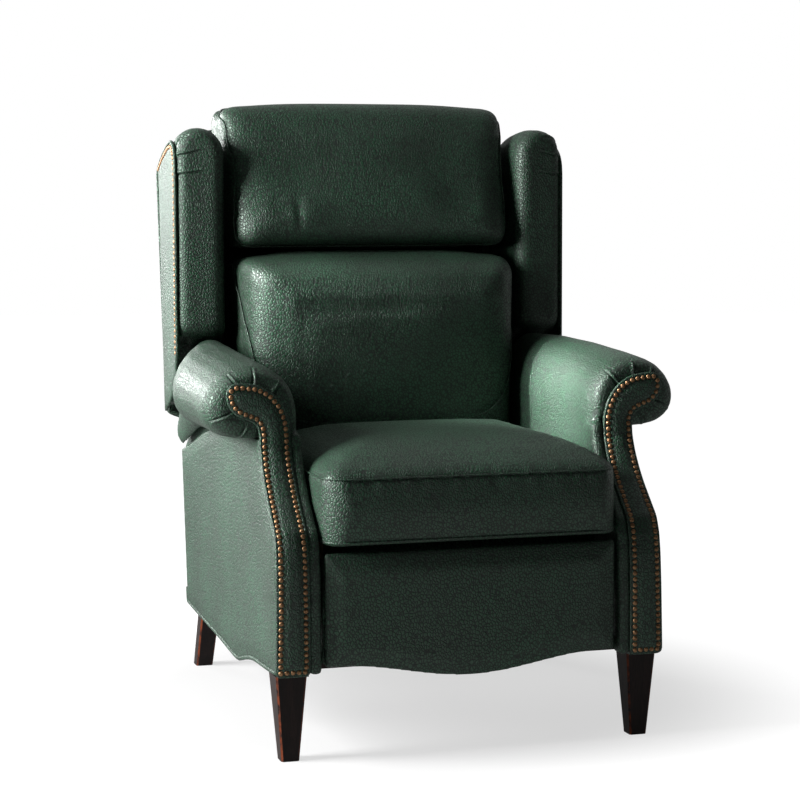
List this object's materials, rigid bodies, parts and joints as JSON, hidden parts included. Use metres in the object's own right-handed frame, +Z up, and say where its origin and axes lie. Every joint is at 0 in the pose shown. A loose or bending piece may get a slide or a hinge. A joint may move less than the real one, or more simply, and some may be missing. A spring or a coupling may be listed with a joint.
{
  "type": "recliner",
  "caption": "Wingback recliner with scrolled arms, a boxed seat cushion, a head pillow, tapered legs, a reclining back and a folding footrest on scissor links.",
  "frame": {"origin": "centre of the whole chair's footprint box at floor level", "axes": "+X to the picture's right (the sitter's left), +Y to the rear, +Z up, so the seat faces -Y"},
  "size_m": [0.838, 0.922, 1.092],
  "materials": {
    "green_leather": "semi-gloss pebbled grain, deep green",
    "dark_wood": "espresso stain with edges rubbed through",
    "frame_wood": "unfinished hardwood",
    "plywood": "unfinished plywood",
    "steel": "black painted steel",
    "spring_wire": "drawn spring wire",
    "deck_cloth": "woven deck cloth"
  },
  "bodies": {
    "root": {"leg_front_left": "dark_wood", "leg_front_right": "dark_wood", "leg_rear_left": "dark_wood", "leg_rear_right": "dark_wood", "arm_frame_left": "frame_wood", "arm_frame_right": "frame_wood", "arm_front_panel_left": "green_leather", "arm_front_panel_right": "green_leather", "arm_inside_pad_left": "green_leather", "arm_inside_pad_right": "green_leather", "arm_roll_left": "green_leather", "arm_roll_right": "green_leather", "outside_arm_panel_left": "green_leather", "outside_arm_panel_right": "green_leather", "side_rail_left": "frame_wood", "side_rail_right": "frame_wood", "side_plate_left": "steel", "side_plate_right": "steel", "front_stretcher": "frame_wood", "rear_stretcher": "frame_wood"},
    "seat": {"seat_frame": "frame_wood", "seat_spring_1": "spring_wire", "seat_spring_2": "spring_wire", "seat_spring_3": "spring_wire", "seat_spring_4": "spring_wire", "seat_spring_5": "spring_wire", "seat_deck": "deck_cloth", "seat_cushion": "green_leather", "seat_runner_left": "steel", "seat_runner_right": "steel"},
    "back": {"back_frame": "frame_wood", "back_spring_1": "spring_wire", "back_spring_2": "spring_wire", "back_spring_3": "spring_wire", "outside_back": "green_leather", "lower_back_cushion": "green_leather", "head_pillow": "green_leather", "wing_pad_left": "green_leather", "wing_pad_right": "green_leather", "wing_core_left": "plywood", "wing_core_right": "plywood", "wing_outside_panel_left": "green_leather", "wing_outside_panel_right": "green_leather", "back_hinge_bracket_left": "steel", "back_hinge_bracket_right": "steel"},
    "long_links": {"long_link_left": "steel", "long_link_right": "steel", "torque_tube": "steel"},
    "crossing_links": {"crossing_link_left": "steel", "crossing_link_right": "steel"},
    "control_links": {"control_link_left": "steel", "control_link_right": "steel"},
    "short_links": {"short_link_left": "steel", "short_link_right": "steel"},
    "footrest": {"footrest_bracket_left": "steel", "footrest_bracket_right": "steel", "footrest_board": "plywood", "footrest_pad": "green_leather"}
  },
  "joints": [
    {"name": "footrest_extend", "type": "hinge", "parent": "root", "child": "long_links", "pos_m": [0, -0.258, 0.3], "axis": [-1, 0, 0], "range_deg": [0, 95]},
    {"name": "crossing_pivot", "type": "hinge", "parent": "long_links", "child": "crossing_links", "pos_m": [0, -0.20517, 0.18671], "axis": [-1, 0, 0], "range_deg": [-95, 0]},
    {"name": "control_pivot", "type": "hinge", "parent": "root", "child": "control_links", "pos_m": [0, -0.20641, 0.26937], "axis": [-1, 0, 0], "range_deg": [0, 95]},
    {"name": "short_pivot", "type": "hinge", "parent": "long_links", "child": "short_links", "pos_m": [0, -0.18911, 0.15227], "axis": [-1, 0, 0], "range_deg": [-95, 0]},
    {"name": "footrest_pivot", "type": "hinge", "parent": "crossing_links", "child": "footrest", "pos_m": [0, -0.396, 0.3], "axis": [-1, 0, 0], "range_deg": [0, 95]},
    {"name": "back_recline", "type": "hinge", "parent": "root", "child": "back", "pos_m": [0, 0.132, 0.335], "axis": [-1, 0, 0], "range_deg": [0, 28]},
    {"name": "seat_glide", "type": "slide", "parent": "root", "child": "seat", "axis": [0, -1, 0], "range_m": [0, 0.03]}
  ],
  "couplings": [
    {"joint": "crossing_pivot", "follows": "footrest_extend", "ratio": -1},
    {"joint": "control_pivot", "follows": "footrest_extend", "ratio": 1},
    {"joint": "short_pivot", "follows": "footrest_extend", "ratio": -1},
    {"joint": "footrest_pivot", "follows": "footrest_extend", "ratio": 1},
    {"joint": "seat_glide", "follows": "back_recline", "m_per_rad": 0.0613}
  ]
}
